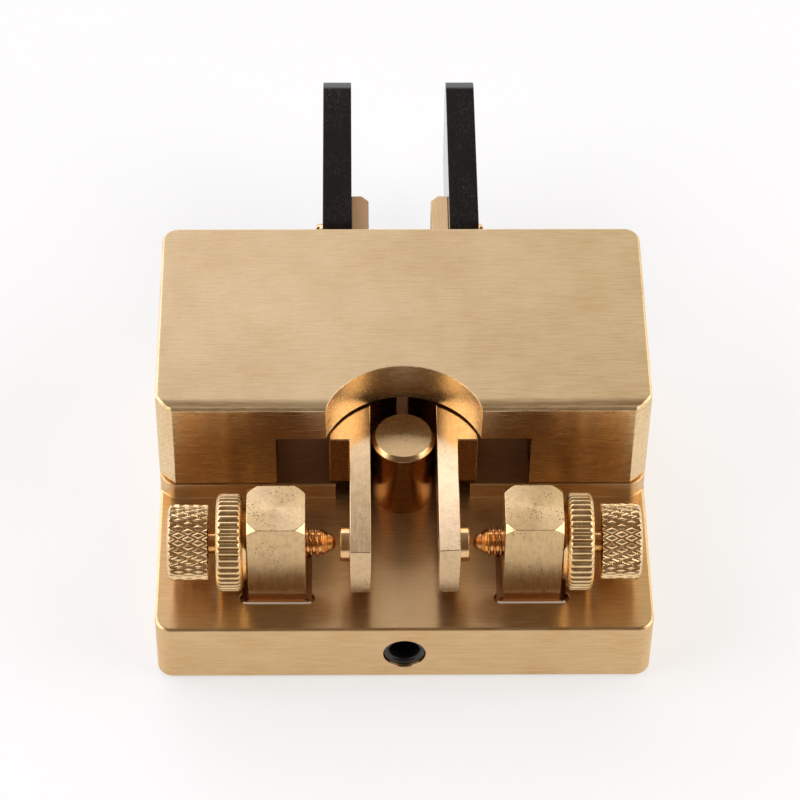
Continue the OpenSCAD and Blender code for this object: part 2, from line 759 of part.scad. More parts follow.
base();
bottom_plate();
plate_screws();
rubber_feet();
rubber_pad();
cover_block();
cover_screws();
stop_post();
stop_post_screw();
pivot_pin(side_left);  // pivot_pin_left
pivot_pin(side_right);  // pivot_pin_right
lever(side_left);  // lever_left
lever(side_right);  // lever_right
pivot_bush(side_left);  // pivot_bush_left
pivot_bush(side_right);  // pivot_bush_right
contact_stud(side_left);  // contact_stud_left
contact_stud(side_right);  // contact_stud_right
return_magnet(side_left);  // return_magnet_left
return_magnet(side_right);  // return_magnet_right
paddle(side_left);  // paddle_left
paddle(side_right);  // paddle_right
paddle_screws(side_left);  // paddle_screws_left
paddle_screws(side_right);  // paddle_screws_right
contact_post(side_left);  // contact_post_left
contact_post(side_right);  // contact_post_right
post_pad(side_left);  // post_pad_left
post_pad(side_right);  // post_pad_right
post_sleeve(side_left);  // post_sleeve_left
post_sleeve(side_right);  // post_sleeve_right
post_screw(side_left);  // post_screw_left
post_screw(side_right);  // post_screw_right
post_lug(side_left);  // post_lug_left
post_lug(side_right);  // post_lug_right
contact_point(side_left);  // contact_point_left
contact_point(side_right);  // contact_point_right
contact_screw(side_left);  // contact_screw_left
contact_screw(side_right);  // contact_screw_right
lock_nut(side_left);  // lock_nut_left
lock_nut(side_right);  // lock_nut_right
socket_body();
socket_springs();
socket_sleeve();
ground_lug();
ground_screw();
wire(side_left);  // wire_left
wire(side_right);  // wire_right
wire_ground();
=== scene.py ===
import math
import bmesh
import bpy
import numpy as np
from mathutils import Matrix, Vector


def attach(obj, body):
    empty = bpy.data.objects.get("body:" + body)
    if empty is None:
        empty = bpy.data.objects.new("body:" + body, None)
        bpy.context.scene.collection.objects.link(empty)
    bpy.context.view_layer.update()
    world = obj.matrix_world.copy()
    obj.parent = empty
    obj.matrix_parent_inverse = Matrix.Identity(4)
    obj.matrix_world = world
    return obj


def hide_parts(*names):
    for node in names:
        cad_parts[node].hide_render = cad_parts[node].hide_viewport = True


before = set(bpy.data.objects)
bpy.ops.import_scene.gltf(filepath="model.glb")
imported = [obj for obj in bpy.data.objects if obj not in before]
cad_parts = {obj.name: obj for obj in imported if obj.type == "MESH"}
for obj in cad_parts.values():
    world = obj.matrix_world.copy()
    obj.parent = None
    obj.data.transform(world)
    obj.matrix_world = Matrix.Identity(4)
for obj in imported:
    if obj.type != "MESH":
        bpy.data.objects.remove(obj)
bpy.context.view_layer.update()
mm = 0.001

# Camera
# The key was photographed from the socket side, looking about 49 degrees down, with a long lens.
# It stands a little left of the middle and is turned and tilted by about a degree.

camera_place = (-6.81 * mm, -272.11 * mm, 332.80 * mm)
camera_turn = math.radians(1.347)
camera_down = math.radians(48.750)
camera_roll = math.radians(0.882)
camera_lens = 151.89

camera_data = bpy.data.cameras.new("camera")
camera_data.sensor_width = 36
camera_data.lens = camera_lens
camera_data.clip_start = 0.01
camera = bpy.data.objects.new("camera", camera_data)
camera.matrix_world = (
    Matrix.Translation(camera_place)
    @ Matrix.Rotation(-camera_turn, 4, "Z")
    @ Matrix.Rotation(math.pi / 2 - camera_down, 4, "X")
    @ Matrix.Rotation(camera_roll, 4, "Z")
)
bpy.context.scene.collection.objects.link(camera)
bpy.context.scene.camera = camera

# Studio
# A white sweep of card lies under the key and rises behind it to a bright backdrop that ends some 50
# degrees up. The ceiling and the camera's side of the room stay dim, and two soft boxes stand at the sides.

scene = bpy.context.scene
scene.view_settings.view_transform = "Standard"

floor_half = 4.0
floor_white = (0.93, 0.93, 0.935, 1)
floor_glow = 0.6
room_dim = (0.155, 0.108, 0.074, 1)
backdrop_left = (2.3, 2.4, 2.85, 1)
backdrop_right = (1.25, 1.22, 1.06, 1)
horizon_white = (0.85, 0.85, 0.85, 1)
# share of the backdrop's light by angle, from the back horizon over the top to the camera's horizon
backdrop_rise = [(0, 1.0), (50.3, 1.0), (51.4, 0.52), (52.4, 0.2), (54, 0.09), (90, 0.05), (118, 0.0)]
side_blend = 0.15
horizon_band = (0.02, 0.16)
soft_box_size = 0.5
soft_box_watts = 2.4
soft_box_x, soft_box_y, soft_box_z = 0.50, -0.05, 0.33
soft_boxes = {"left soft box": (-1, (1.0, 0.99, 0.97)), "right soft box": (1, (1.0, 0.98, 0.95))}
lit_place = (0, 0, 0.012)


def node_tree(owner):
    """Empties the node tree of a material or world and returns the function that adds a node to it. Values by
    place fill the node's inputs in order. Values by name are settings, or inputs with _ for a space in their
    name. A node or socket among the values is joined to the input."""
    owner.use_nodes = True
    tree = owner.node_tree
    tree.nodes.clear()

    def add(kind, *values, **settings):
        node = tree.nodes.new(kind)
        inputs = dict(enumerate(values))
        for key, value in settings.items():
            if key in node.bl_rna.properties:
                setattr(node, key, value)
            else:
                inputs[key.replace("_", " ")] = value
        for key, value in inputs.items():
            if isinstance(value, bpy.types.Node):
                value = value.outputs.get("Result") or value.outputs[0]
            if isinstance(value, bpy.types.NodeSocket):
                tree.links.new(value, node.inputs[key])
            else:
                node.inputs[key].default_value = value
        return node

    return add


def new_material(name):
    """Material without nodes, and the function that adds nodes to it."""
    material = bpy.data.materials.new(name)
    return material, node_tree(material)


def maths(add, operation, *values):
    """Math node over one, two or three values."""
    return add("ShaderNodeMath", *values, operation=operation)


def chained(add, operation, values):
    """Math nodes one after another, over any number of values."""
    total = values[0]
    for value in values[1:]:
        total = maths(add, operation, total, value)
    return total


def mixed(add, share, first, second, data_type="RGBA", **settings):
    """Mix node that goes from the first colour or vector to the second."""
    return add("ShaderNodeMix", data_type=data_type, Factor=share, A=first, B=second, **settings)


card, add = new_material("white card")
rays = add("ShaderNodeLightPath").outputs
seen = chained(add, "MAXIMUM", [rays["Is Camera Ray"], rays["Is Glossy Ray"], rays["Is Transmission Ray"]])
card_matt = add("ShaderNodeBsdfDiffuse", Color=floor_white)
card_glow = add("ShaderNodeEmission", Color=(1, 1, 1, 1), Strength=1.0)
card_mix = add("ShaderNodeMixShader", maths(add, "MULTIPLY", seen, floor_glow), card_matt, card_glow)
add("ShaderNodeOutputMaterial", card_mix)

floor_mesh = bpy.data.meshes.new("floor")
corners = [(floor_half * x, floor_half * y, 0) for x, y in ((-1, -1), (1, -1), (1, 1), (-1, 1))]
floor_mesh.from_pydata(corners, [], [(0, 1, 2, 3)])
floor_mesh.materials.append(card)
floor = bpy.data.objects.new("floor", floor_mesh)
scene.collection.objects.link(floor)

world = bpy.data.worlds.new("studio")
scene.world = world
add = node_tree(world)
ray = add("ShaderNodeSeparateXYZ", add("ShaderNodeTexCoord").outputs["Generated"]).outputs
side_share = add("ShaderNodeMapRange", interpolation_type="SMOOTHSTEP", Value=ray["X"],
                 From_Min=-side_blend, From_Max=side_blend)
backdrop = mixed(add, side_share, backdrop_left, backdrop_right)
half_turn = maths(add, "DIVIDE", maths(add, "ARCTAN2", ray["Z"], ray["Y"]), math.pi)
stops = add("ShaderNodeValToRGB", half_turn)
stops.color_ramp.elements.remove(stops.color_ramp.elements[1])
for i, (degrees, level) in enumerate(backdrop_rise):
    stop = stops.color_ramp.elements[0] if i == 0 else stops.color_ramp.elements.new(degrees / 180)
    stop.position = degrees / 180
    stop.color = (level, level, level, 1)
room = mixed(add, stops, room_dim, backdrop)
high_share = add("ShaderNodeMapRange", interpolation_type="SMOOTHSTEP", Value=ray["Z"],
                 From_Min=horizon_band[0], From_Max=horizon_band[1])
sky = add("ShaderNodeBackground", Color=mixed(add, high_share, horizon_white, room), Strength=1.0)
add("ShaderNodeOutputWorld", sky)

for name, (hand, colour) in soft_boxes.items():
    light = bpy.data.lights.new(name, "AREA")
    light.shape = "RECTANGLE"
    light.size = light.size_y = soft_box_size
    light.energy = soft_box_watts
    light.color = colour
    lamp = bpy.data.objects.new(name, light)
    lamp.location = (hand * soft_box_x, soft_box_y, soft_box_z)
    lamp.rotation_euler = (Vector(lit_place) - lamp.location).to_track_quat("-Z", "Y").to_euler()
    scene.collection.objects.link(lamp)

# Base
# A solid brass block, milled and then brushed from side to side, so that what it reflects is drawn out
# across the brush lines. The step for the cover block, the slot for the arms and the two seats are milled in.

# cells of noise per metre, across the brush lines and along them
fine_cells = (9500.0, 420.0)
wide_cells = (3300.0, 330.0)
# the same for the noises that are even in all directions
cloud_cells = 130
patch_cells = 300
stain_cells = 1100
pore_cells = 2500
skin_cells = 3600
stain_brown = (0.52, 0.36, 0.21, 1)
pore_dark = (0.10, 0.05, 0.025, 1)
# brown by which the colour is multiplied inside the boxes of painted shade
shade_brown = (0.62, 0.48, 0.38, 1)
# X of the normal from which a face counts as an end, and a value that no normal reaches
end_face_from = 0.7
beyond_normals = 2.0
# angles between two faces over which their edge is broken, and under which it is shaded smooth
sharp_from = math.radians(28)
smooth_until = math.radians(32)
flat_within = math.radians(0.5)
weld_solid = 0.0005 * mm
weld_worked = 0.002 * mm
# an edge is very short under this many widths of the round, and goes straight on over this cosine
short_edge = 2.5
straight_on = 0.8


def spread(add, value, low_in, high_in, low_out=0.0, high_out=1.0):
    """Map Range node that carries value from one span to another."""
    return add("ShaderNodeMapRange", Value=value, From_Min=low_in, From_Max=high_in, To_Min=low_out,
               To_Max=high_out)


def grain_noise(add, cells, detail=4.0, place=(0, 0, 0), where=None):
    """Noise in the piece's own frame, cells = how many per metre, in all or along X, Y and Z."""
    if where is None:
        where = add("ShaderNodeTexCoord").outputs["Object"]
    if isinstance(cells, (int, float)):
        cells = (cells, cells, cells)
    placed = add("ShaderNodeMapping", where, Scale=cells, Location=place)
    return add("ShaderNodeTexNoise", Vector=placed, Scale=1.0, Detail=detail, Roughness=0.6)


def coat(add, **settings):
    """Principled shader on the material's output."""
    add("ShaderNodeOutputMaterial", add("ShaderNodeBsdfPrincipled", **settings))


def brushed_brass(name, along, roughness, anisotropy, line_depth, light, deep, upright=1.0, mottle=0.0,
                  shade_boxes=(), faced=None):
    """Brass with lines along one direction; lines along X turn to Y on the faces at the ends.
    upright = how much rougher its upright faces are than its tops, mottle = how far it is tumbled to a matt
    skin with pores and stains, shade boxes = boxes in mm, (low corner, high corner), where the brass is
    painted darker as shade, faced = (x, y) in mm of the axis about which the top is turned flat."""
    metal, add = new_material(name)
    along = Vector(along).normalized()
    fine, wide = ([cells[0] if abs(a) < 0.5 else cells[1] for a in along]
                  for cells in (fine_cells, wide_cells))
    own_place = add("ShaderNodeTexCoord").outputs["Object"]
    surface = add("ShaderNodeNewGeometry").outputs["Normal"]
    facing = add("ShaderNodeSeparateXYZ", surface).outputs
    level = maths(add, "ABSOLUTE", facing["Z"])
    end_from = end_face_from if along.x > 0.9 else beyond_normals
    at_ends = maths(add, "GREATER_THAN", maths(add, "ABSOLUTE", facing["X"]), end_from)
    # the small tilt keeps a direction where the surface faces along the lines
    lines_run = mixed(add, at_ends, along + Vector((0.002, 0.003, 0.001)), (0, 1, 0), "VECTOR")
    quarter_turn = add("ShaderNodeMapping", own_place, Rotation=(0, 0, math.pi / 2))
    lines_place = mixed(add, at_ends, own_place, quarter_turn, "VECTOR")
    fine_lines = grain_noise(add, fine, 3.0, where=lines_place)
    wide_lines = grain_noise(add, wide, 5.0, (3.1, 1.7, 0.4), lines_place)
    clouds = grain_noise(add, cloud_cells, 4.0, (0.3, 2.2, 5.1))
    height = maths(add, "ADD", fine_lines, wide_lines)
    normal = add("ShaderNodeBump", Height=height, Strength=line_depth, Distance=0.02 * mm)
    tone = maths(add, "MULTIPLY_ADD", spread(add, wide_lines, 0.36, 0.64), 0.8,
                 spread(add, clouds, 0.35, 0.65, 0.0, 0.4))
    colour = mixed(add, tone, deep, light)
    rough = maths(add, "MULTIPLY", spread(add, wide_lines, 0.3, 0.7, roughness * 0.85, roughness * 1.15),
                  spread(add, level, 0.5, 0.9, upright, 1.0))
    if mottle > 0:
        pores = add("ShaderNodeTexVoronoi", Vector=own_place, Scale=pore_cells)
        patches = grain_noise(add, patch_cells, 2.0, (7.3, 0.9, 2.0))
        hole = maths(add, "LESS_THAN", pores, spread(add, patches, 0.44, 0.60, 0.0, 0.21 * mottle))
        stains = grain_noise(add, stain_cells, 5.0, (2.3, 6.9, 1.0))
        colour = mixed(add, spread(add, stains, 0.45, 0.70, 0.0, 0.7 * mottle), colour, stain_brown)
        colour = mixed(add, hole, colour, pore_dark)
        skin = grain_noise(add, skin_cells, 2.0, (1.3, 4.9, 8.0))
        normal = add("ShaderNodeBump", Height=skin, Normal=normal, Strength=0.35 * mottle,
                     Distance=0.01 * mm)
        normal = add("ShaderNodeBump", Height=hole, Normal=normal, Strength=0.4, Distance=0.03 * mm,
                     invert=True)
    # painted shade: inside the given boxes the colour is multiplied by a darker brown
    if shade_boxes:
        place = add("ShaderNodeSeparateXYZ", own_place).outputs
        inside = []
        for low, high in shade_boxes:
            tests = [maths(add, "GREATER_THAN", place[axis], limit * mm) for axis, limit in zip("XYZ", low)]
            tests += [maths(add, "LESS_THAN", place[axis], limit * mm) for axis, limit in zip("XYZ", high)]
            inside.append(chained(add, "MULTIPLY", tests))
        colour = mixed(add, chained(add, "MAXIMUM", inside), colour, shade_brown, blend_type="MULTIPLY")
    across = add("ShaderNodeVectorMath", surface, lines_run, operation="CROSS_PRODUCT")
    if faced:
        outward = add("ShaderNodeMapping", own_place, Location=(-faced[0] * mm, -faced[1] * mm, 0),
                      Scale=(1, 1, 0))
        top = maths(add, "GREATER_THAN", level, 0.9)
        across = mixed(add, top, across, outward, "VECTOR")
        anisotropy = spread(add, top, 0.0, 1.0, anisotropy, 0.75)
    coat(add, Metallic=1.0, Base_Color=colour, Roughness=rough, Anisotropic=anisotropy, Tangent=across,
         Normal=normal)
    return metal


def has_room(edge, sharp, width):
    """True where no very short edge leaves an end of this one, other than the next one of the same rim."""
    for v in edge.verts:
        way = (edge.other_vert(v).co - v.co).normalized()
        for other in v.link_edges:
            if other is edge or other.calc_length() > short_edge * width:
                continue
            onward = (other.other_vert(v).co - v.co).normalized()
            if other not in sharp or way.dot(onward) > -straight_on:
                return False
    return True


def new_piece(name, bm, material, body, nodes, matrix=Matrix.Identity(4), sharp_over=None):
    """New piece that rides on its body and takes the place of its nodes. sharp_over = angle in degrees over
    which its edges are shaded sharp, where the mesh doesn't say so itself."""
    mesh = bpy.data.meshes.new(name)
    bm.to_mesh(mesh)
    bm.free()
    if sharp_over:
        mesh.shade_smooth()
        mesh.set_sharp_from_angle(angle=math.radians(sharp_over))
    mesh.materials.append(material)
    piece = bpy.data.objects.new(name, mesh)
    scene.collection.objects.link(piece)
    piece.matrix_world = matrix
    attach(piece, body)
    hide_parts(*nodes)
    return piece


def with_broken_edges(name, node, width, material, body, shape=None):
    """Piece with a node's shape whose sharp edges are broken by a small round, as deburring leaves them.
    shape(bm) may work the metal over before."""
    bm = bmesh.new()
    bm.from_mesh(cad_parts[node].data)
    bmesh.ops.remove_doubles(bm, verts=bm.verts, dist=weld_solid)
    bmesh.ops.dissolve_limit(bm, angle_limit=flat_within, verts=bm.verts, edges=bm.edges)
    if shape:
        shape(bm)
        bmesh.ops.remove_doubles(bm, verts=bm.verts, dist=weld_worked)
    sharp = {e for e in bm.edges if len(e.link_faces) == 2 and e.calc_face_angle(0) > sharp_from}
    roomy = [e for e in sharp if has_room(e, sharp, width)]
    low, high = ([limit(v.co[i] for v in bm.verts) for i in range(3)] for limit in (min, max))
    bevel = bmesh.ops.bevel(bm, geom=roomy, offset=width, segments=3, profile=0.5, affect="EDGES",
                            clamp_overlap=False)
    rounds = set(bevel["faces"])
    # no point leaves the box that the solid fills
    for v in bm.verts:
        v.co = [min(max(c, a), b) for c, a, b in zip(v.co, low, high)]
    for face in bm.faces:
        face.smooth = True
    # a round is shaded apart from the faces beside it, so flat faces stay flat
    for e in bm.edges:
        if len(e.link_faces) == 2:
            beside = (e.link_faces[0] in rounds) != (e.link_faces[1] in rounds)
            e.smooth = not beside and e.calc_face_angle(0) < smooth_until
    return new_piece(name, bm, material, body, [node])


# boxes in mm painted darker as shade: the channel under the cover block and the two post seats
under_cover = ((-15.65, -4.6, 12.0), (15.65, 25.4, 20.62))
post_x = 15.4
contact_y = -17.0
seat_half = 4.6
in_seats = [((x - seat_half, contact_y - seat_half, 8.0), (x + seat_half, contact_y + seat_half, 9.5))
            for x in (-post_x, post_x)]
block_half_w = 30.1 * mm
block_face = -4.7 * mm
corner_r = 2.0 * mm
corner_flat = 0.75
step_flat = 0.4
step_proud = 0.16 * mm
step_rise = (9.55 * mm, 12.2 * mm)
near = 0.01 * mm


def flatten_corner(v, share=1.0):
    """Flattens one point of the near upright corners of the cover block and its step. Returns the way out of
    the block at this point, or None inside it."""
    hand = math.copysign(1, v.co.x)
    side = abs(v.co.x) - (block_half_w - corner_r)
    front = corner_r - (v.co.y - block_face)
    if side > near and front > near:
        reach = math.hypot(side, front)
        pull = 1 + share * corner_flat * (reach / (side + front) - 1)
        v.co.x = hand * (block_half_w - corner_r + side * pull)
        v.co.y = block_face + corner_r - front * pull
        return (hand * side / reach, -front / reach)
    if front > corner_r - near:
        return (0, -1)
    if side > corner_r - near:
        return (hand, 0)
    return None


def bring_step_out(bm):
    """The step stands a hair proud of the cover block's face, so that its edge shows as a light line."""
    for v in bm.verts:
        if v.co.y > block_face - near and step_rise[0] < v.co.z < step_rise[1]:
            outward = flatten_corner(v, step_flat)
            if outward:
                v.co.y += step_proud * outward[1]


# the base's brass is painted darker as shade in the channel under the cover and in the post seats
base_brass = brushed_brass("base brass", (1, 0, 0), 0.38, 0.75, 0.34, (0.76, 0.53, 0.28, 1),
                           (0.65, 0.41, 0.185, 1), upright=0.9, shade_boxes=[under_cover] + in_seats)
with_broken_edges("base_block", "base", 0.11 * mm, base_brass, "frame_body", bring_step_out)

# Closing plate and its screws
# A thin brass plate lies flush in the underside and closes the wiring pocket. Four small steel screws with
# low slotted heads hold it.


def toned(colour, share=1.0, more=0.0):
    """Lighter or darker colour, with its alpha."""
    return tuple(min(1.0, share * c + more) for c in colour) + (1,)


def plated_steel(name, tone, roughness):
    """Zinc-plated steel: pale grey with faint mottling and fine turning marks."""
    metal, add = new_material(name)
    clouds = grain_noise(add, 900)
    marks = grain_noise(add, (9000, 9000, 5000), 2.0)
    coat(add, Metallic=1.0,
         Base_Color=mixed(add, spread(add, clouds, 0.35, 0.65), toned(tone, 0.72), toned(tone)),
         Roughness=spread(add, clouds, 0.3, 0.7, roughness * 0.8, roughness * 1.25),
         Normal=add("ShaderNodeBump", Height=marks, Strength=0.25, Distance=0.01 * mm))
    return metal


dull = brushed_brass("dull brass", (0, 1, 0), 0.42, 0.6, 0.5, (0.58, 0.42, 0.23, 1), (0.40, 0.27, 0.14, 1))
steel = plated_steel("plated steel", (0.62, 0.62, 0.61), 0.34)
with_broken_edges("closing_plate", "bottom_plate", 0.08 * mm, dull, "frame_body")
with_broken_edges("closing_plate_screws", "plate_screws", 0.04 * mm, steel, "frame_body")

# Rubber feet
# Four moulded rubber discs are pressed into shallow recesses of the underside. Each has a raised ring
# that grips the table and a small gate mark in its middle.

foot_x = 24.8 * mm
foot_y = 20.2 * mm
# (along, radius, ease) in mm; the ring stands out below the foot's face by foot_ring
foot_section = [
    (0.0, 0.0, 0), (0.0, 0.7, 0.1), (-0.12, 0.75, 0.05), (-0.12, 1.9, 0.1), (-0.3, 2.0, 0.08),
    (-0.3, 2.85, 0.12), (-0.05, 3.15, 0.12), (0.25, 3.3, 0.1), (1.3, 3.3, 0.1), (1.3, 0.0, 0),
]
foot_ring = 0.3


def eased(section, steps=4):
    """Section of a turned piece, (along, radius, ease) in mm, with each corner rounded over its ease."""
    line = []
    for i, (x, r, ease) in enumerate(section):
        here = Vector((x, r))
        if ease <= 0 or i in (0, len(section) - 1):
            line.append(here)
            continue
        before = Vector(section[i - 1][:2]) - here
        after = Vector(section[i + 1][:2]) - here
        start = here + before.normalized() * min(ease, before.length * 0.45)
        end = here + after.normalized() * min(ease, after.length * 0.45)
        # a ring just outside the round keeps the faces beside it straight
        line.append(start + before.normalized() * min(0.02, before.length * 0.04))
        for k in range(steps + 1):
            t = k / steps
            line.append((1 - t) ** 2 * start + 2 * t * (1 - t) * here + t * t * end)
        line.append(end + after.normalized() * min(0.02, after.length * 0.04))
    return line


def ring_faces(rings, around, closed=False):
    """Faces of a skin stretched over rings of equal count; closed joins the last ring to the first."""
    faces = []
    for i in range(rings if closed else rings - 1):
        k = (i + 1) % rings
        for j in range(around):
            n = (j + 1) % around
            faces.append((i * around + j, i * around + n, k * around + n, k * around + j))
    return faces


def turned(line, around, closed=False, cut=None):
    """Verts and faces of a piece turned about the local X axis; cut(x, r, angle) may change the radii."""
    along = np.array([p[0] for p in line])[:, None] * np.ones(around)
    radius = np.array([p[1] for p in line])[:, None] * np.ones(around)
    angle = np.ones(len(line))[:, None] * np.linspace(0, 2 * math.pi, around, endpoint=False)
    if cut:
        radius = cut(along, radius, angle)
    points = np.stack([along, radius * np.cos(angle), radius * np.sin(angle)], axis=-1) * mm
    return [tuple(v) for v in points.reshape(-1, 3)], ring_faces(len(line), around, closed)


def make_piece(name, shapes, material, body, nodes, sharp_over=32, place=(0, 0, 0),
               turn=Matrix.Identity(4)):
    """One piece from a list of (verts, faces) in its own frame, placed and given to its body."""
    bm = bmesh.new()
    for verts, faces in shapes:
        loose = [bm.verts.new(v) for v in verts]
        for face in faces:
            bm.faces.new([loose[i] for i in face])
    bmesh.ops.remove_doubles(bm, verts=bm.verts, dist=0.0002 * mm)
    bmesh.ops.dissolve_degenerate(bm, dist=0.0001 * mm, edges=bm.edges)
    bmesh.ops.recalc_face_normals(bm, faces=bm.faces)
    return new_piece(name, bm, material, body, nodes, Matrix.Translation(place) @ turn, sharp_over)


def moulded(name, tone, roughness, grain_size=0.06, speck=0.25):
    """Moulded plastic or rubber: a fine grain, a faint unevenness of tone and a few pale specks of dust."""
    stuff, add = new_material(name)
    grain = grain_noise(add, 1000 / grain_size, 3.0)
    clouds = grain_noise(add, 400, 3.0)
    coat(add, Base_Color=mixed(add, spread(add, clouds, 0.35, 0.65), toned(tone, 0.8),
                               toned(tone, 1.15, 0.012 * speck)),
         Roughness=spread(add, grain, 0.3, 0.7, roughness * 0.85, roughness * 1.15),
         Normal=add("ShaderNodeBump", Height=grain, Strength=0.3, Distance=0.02 * mm))
    return stuff


rubber = moulded("foot rubber", (0.022, 0.021, 0.020), 0.7, 0.09)
standing = Matrix.Rotation(-math.pi / 2, 4, "Y")
foot_verts, foot_faces = turned([Vector((x + foot_ring, r)) for x, r in eased(foot_section)], 72)
feet = []
for x, y in ((-foot_x, -foot_y), (-foot_x, foot_y), (foot_x, -foot_y), (foot_x, foot_y)):
    foot_turn = Matrix.Translation((x, y, 0)) @ standing
    feet.append(([foot_turn @ Vector(v) for v in foot_verts], foot_faces))
make_piece("moulded_feet", feet, rubber, "frame_body", ["rubber_feet"])

# Rubber sheet
# A thin sheet of the same rubber is stuck on between the feet. It is stamped out with round corners, and
# its face carries the weave of the cloth it was pressed against.


def woven_rubber(name, tone, pitch):
    """Rubber with the even relief of a cloth weave, pitch apart."""
    stuff, add = new_material(name)
    place = add("ShaderNodeTexCoord").outputs["Object"]
    warp, weft = (add("ShaderNodeTexWave", bands_direction=axis, Vector=place, Scale=math.pi / (10 * pitch),
                      Distortion=0.6) for axis in "XY")
    clouds = grain_noise(add, 500)
    coat(add, Base_Color=mixed(add, clouds, toned(tone, 0.7), toned(tone, 1.3)),
         Roughness=spread(add, clouds, 0.3, 0.7, 0.6, 0.85),
         Normal=add("ShaderNodeBump", Height=maths(add, "MULTIPLY", warp, weft), Strength=0.6,
                    Distance=0.05 * mm))
    return stuff


woven = woven_rubber("woven rubber", (0.024, 0.023, 0.022), 0.6 * mm)
with_broken_edges("rubber_sheet", "rubber_pad", 0.08 * mm, woven, "frame_body")

# Insulated seats of the contact posts
# Each post stands in a milled seat on a white moulded tray whose thin rim keeps it off the brass. A
# flanged sleeve insulates its screw from below, where a solder lug takes the wire.

# sizes in mm
tray_half_w = 4.15
tray_half_d = 4.45
tray_waist = 3.62
tray_ear = 0.55
tray_corner = 0.25
tray_floor = 8.7
tray_top = 9.2
tray_fillet = 0.05
rim_top = 9.58
rim_t = 0.26
rim_in = 0.03
rim_down = 0.04
rim_tone = (0.80, 0.72, 0.64, 1)
# the tray's floor colour below is painted shade and reflected brass
floor_shade_tone = (0.42, 0.17, 0.05, 1)
shade_top = 9.45 * mm
corner_points = 8
sleeve_hole = 2.2
sides = {"left": -1, "right": 1}


def seat_loop(inset, height):
    """Outline of the tray, pulled in by inset: wide ears at both ends and a waist under the post, where the
    rim runs out to the tray's floor."""
    r = max(tray_corner - inset, 0.08)
    w = tray_half_w - inset - r
    d = tray_half_d - inset - r
    low = min(height, tray_top)
    corner = [(w + r * math.cos(a), d + r * math.sin(a), height)
              for a in (math.pi / 2 * k / (corner_points - 1) for k in range(corner_points))]
    ear = tray_half_d - inset - tray_ear
    waist = tray_waist - inset
    quarter = [(waist, ear - 0.25, low), (waist + 0.15, ear - 0.05, low), (w + r, ear, low)] + corner
    half = quarter + [(-x, y, z) for x, y, z in reversed(quarter)]
    return half + [(-x, -y, z) for x, y, z in half]


def round_loop(radius, height):
    """Circle whose points lie in the same directions as those of a seat loop."""
    return [(radius * x / math.hypot(x, y), radius * y / math.hypot(x, y), height)
            for x, y, _ in seat_loop(0, height)]


def tray_with_painted_shade(name):
    """Plastic with a cream rim, whose lower part is painted amber-brown as shade and reflected brass."""
    stuff, add = new_material(name)
    height = add("ShaderNodeSeparateXYZ", add("ShaderNodeTexCoord").outputs["Object"]).outputs["Z"]
    clouds = grain_noise(add, 1500, 3.0)
    uneven = maths(add, "MULTIPLY_ADD", clouds, 0.3 * mm, height)
    # painted shade: below this height the tray turns amber-brown, as shade and reflected brass in the seat
    share = spread(add, uneven, shade_top - 0.05 * mm, shade_top + 0.15 * mm)
    coat(add, Base_Color=mixed(add, share, floor_shade_tone, rim_tone), Roughness=0.3,
         Normal=add("ShaderNodeBump", Height=clouds, Strength=0.2, Distance=0.02 * mm))
    return stuff


white_plastic = moulded("white insulator", (0.78, 0.77, 0.73), 0.45, 0.08)
tray_plastic = tray_with_painted_shade("tray plastic")
bronze = brushed_brass("contact bronze", (0, 1, 0), 0.3, 0.5, 0.3, (0.80, 0.42, 0.22, 1),
                       (0.62, 0.30, 0.14, 1))
tray_loops = [
    seat_loop(rim_in, tray_floor), seat_loop(0, tray_floor + rim_in),
    seat_loop(0, rim_top - rim_down), seat_loop(rim_in, rim_top),
    seat_loop(rim_t - rim_in, rim_top), seat_loop(rim_t, rim_top - rim_down),
    seat_loop(rim_t, tray_top + tray_fillet), seat_loop(rim_t + tray_fillet, tray_top),
    round_loop(sleeve_hole, tray_top), round_loop(sleeve_hole, tray_floor),
]
tray_verts = [tuple(c * mm for c in p) for loop in tray_loops for p in loop]
tray_faces = ring_faces(len(tray_loops), len(tray_loops[0]), closed=True)
for side, sign in sides.items():
    seat = (sign * post_x * mm, contact_y * mm, 0)
    make_piece("insulating_tray_" + side, [(tray_verts, tray_faces)], tray_plastic, "frame_body",
               ["post_pad_" + side], place=seat)
    with_broken_edges("insulating_sleeve_" + side, "post_sleeve_" + side, 0.08 * mm, white_plastic,
                      "frame_body")
    with_broken_edges("solder_lug_" + side, "post_lug_" + side, 0.05 * mm, bronze, "frame_body")
    with_broken_edges("post_fixing_screw_" + side, "post_screw_" + side, 0.05 * mm, steel, "frame_body")

# Contact posts
# Square brass bar, cut off, drilled and tapped across, its top turned to a 45 degree chamfer. The bar
# keeps a satin skin with small dark pores.

for side, sign in sides.items():
    post_brass = brushed_brass("post brass " + side, (0, 0, 1), 0.26, 0.2, 0.05, (0.74, 0.53, 0.28, 1),
                               (0.62, 0.41, 0.20, 1), upright=1.2, mottle=1.0,
                               faced=(sign * post_x, contact_y))
    with_broken_edges("post_" + side, "contact_post_" + side, 0.07 * mm, post_brass, "frame_body")

# Contact screws, contact points and lock nuts
# Turned brass screws with a fine thread, a narrow neck and a diamond-knurled head for the fingers. A
# bronze point is pressed into the inner end, and a straight-knurled nut locks the screw against the post.

# sizes in mm, and places along the axis in mm from the middle of the key
contact_z = 15.9
thread_r = 1.9
thread_pitch = 0.7
thread_depth = 0.40
